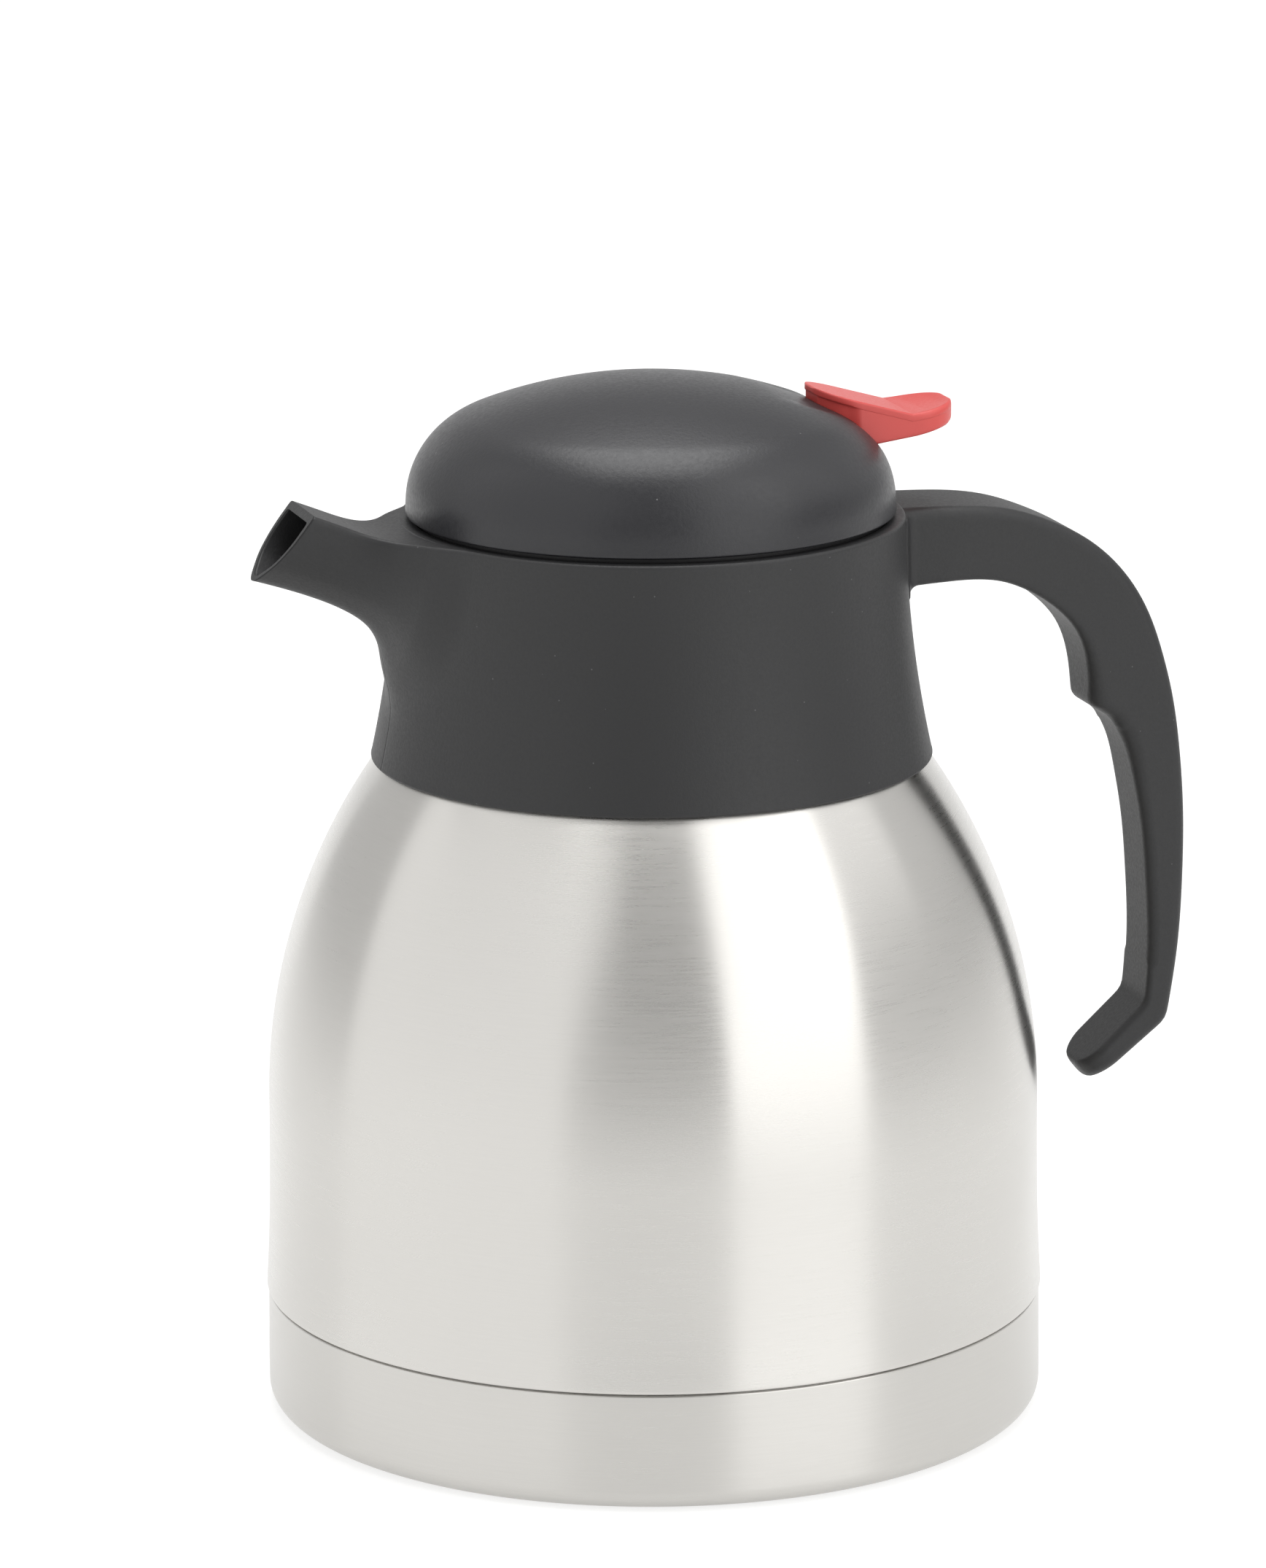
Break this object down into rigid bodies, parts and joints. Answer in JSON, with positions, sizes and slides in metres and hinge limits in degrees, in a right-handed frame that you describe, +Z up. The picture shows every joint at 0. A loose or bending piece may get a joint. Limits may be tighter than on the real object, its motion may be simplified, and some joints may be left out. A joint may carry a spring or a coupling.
{
  "type": "thermal carafe",
  "caption": "Double-wall steel thermal carafe with a moulded collar, spout and open handle, and a screw-in domed lid whose thumb lever lifts the pouring valve.",
  "frame": {"origin": "axis of the flask at the surface that the base's middle pad stands on", "axes": "+Z up along the axis of the flask, +X towards the handle, -X towards the spout"},
  "size_m": [0.191, 0.1548, 0.2063],
  "materials": {
    "brushed_steel_base": "stainless sheet, brushed round the axis, satin",
    "brushed_steel_shell": "stainless sheet, brushed round the axis, satin",
    "flask_steel": "deep-drawn stainless sheet, electropolished",
    "braze_steel": "brazed plug, dull",
    "getter_tablet": "sintered alloy tablet, dull grey",
    "charcoal_plastic": "polypropylene, charcoal, fine spark-eroded grain",
    "black_plastic": "polypropylene, black, smooth",
    "red_plastic": "polypropylene, muted red, semi-gloss",
    "silicone": "food-grade silicone, translucent white, soft",
    "screw_steel": "stainless pan-head screw, plain",
    "pin_steel": "drawn stainless wire, ground",
    "spring_steel": "stainless spring wire"
  },
  "bodies": {
    "jug": {"base_cup": "brushed_steel_base", "outer_shell": "brushed_steel_shell", "liner": "flask_steel", "vacuum_base": "flask_steel", "evacuation_plug": "braze_steel", "getter": "getter_tablet", "collar": "charcoal_plastic", "mouth_ring": "black_plastic", "neck_gasket": "silicone"},
    "seal": {"stopper_seal": "silicone"},
    "lid": {"lid_dome": "charcoal_plastic", "stopper_body": "black_plastic", "stopper_deck": "black_plastic", "deck_screws": "screw_steel", "flange_seal": "silicone", "stem_seal": "silicone", "lever_pin": "pin_steel"},
    "lever": {"lever": "red_plastic"},
    "valve": {"valve_stem": "pin_steel", "valve_plug": "black_plastic", "valve_seal": "silicone", "stem_clip": "pin_steel", "valve_spring": "spring_steel"}
  },
  "joints": [
    {"name": "lid_rise", "type": "slide", "parent": "jug", "child": "seal", "axis": [0, 0, 1], "range_m": [0, 0.007]},
    {"name": "lid_turn", "type": "hinge", "parent": "seal", "child": "lid", "pos_m": [0, 0, 0.168], "axis": [0, 0, 1], "range_deg": [0, 90]},
    {"name": "lever_press", "type": "hinge", "parent": "lid", "child": "lever", "pos_m": [0.037, 0, 0.1902], "axis": [0, 1, 0], "range_deg": [0, 8], "stiffness_Nm_per_rad": 0.3, "springref_deg": -4.01},
    {"name": "valve_lift", "type": "slide", "parent": "lid", "child": "valve", "axis": [0, 0, 1], "range_m": [0, 0.00516], "deforming": ["valve_spring"]}
  ],
  "couplings": [
    {"joint": "lid_rise", "follows": "lid_turn", "m_per_rad": 0.0044563},
    {"joint": "lever_press", "follows": "valve_lift", "rad_per_m": 27.027}
  ]
}
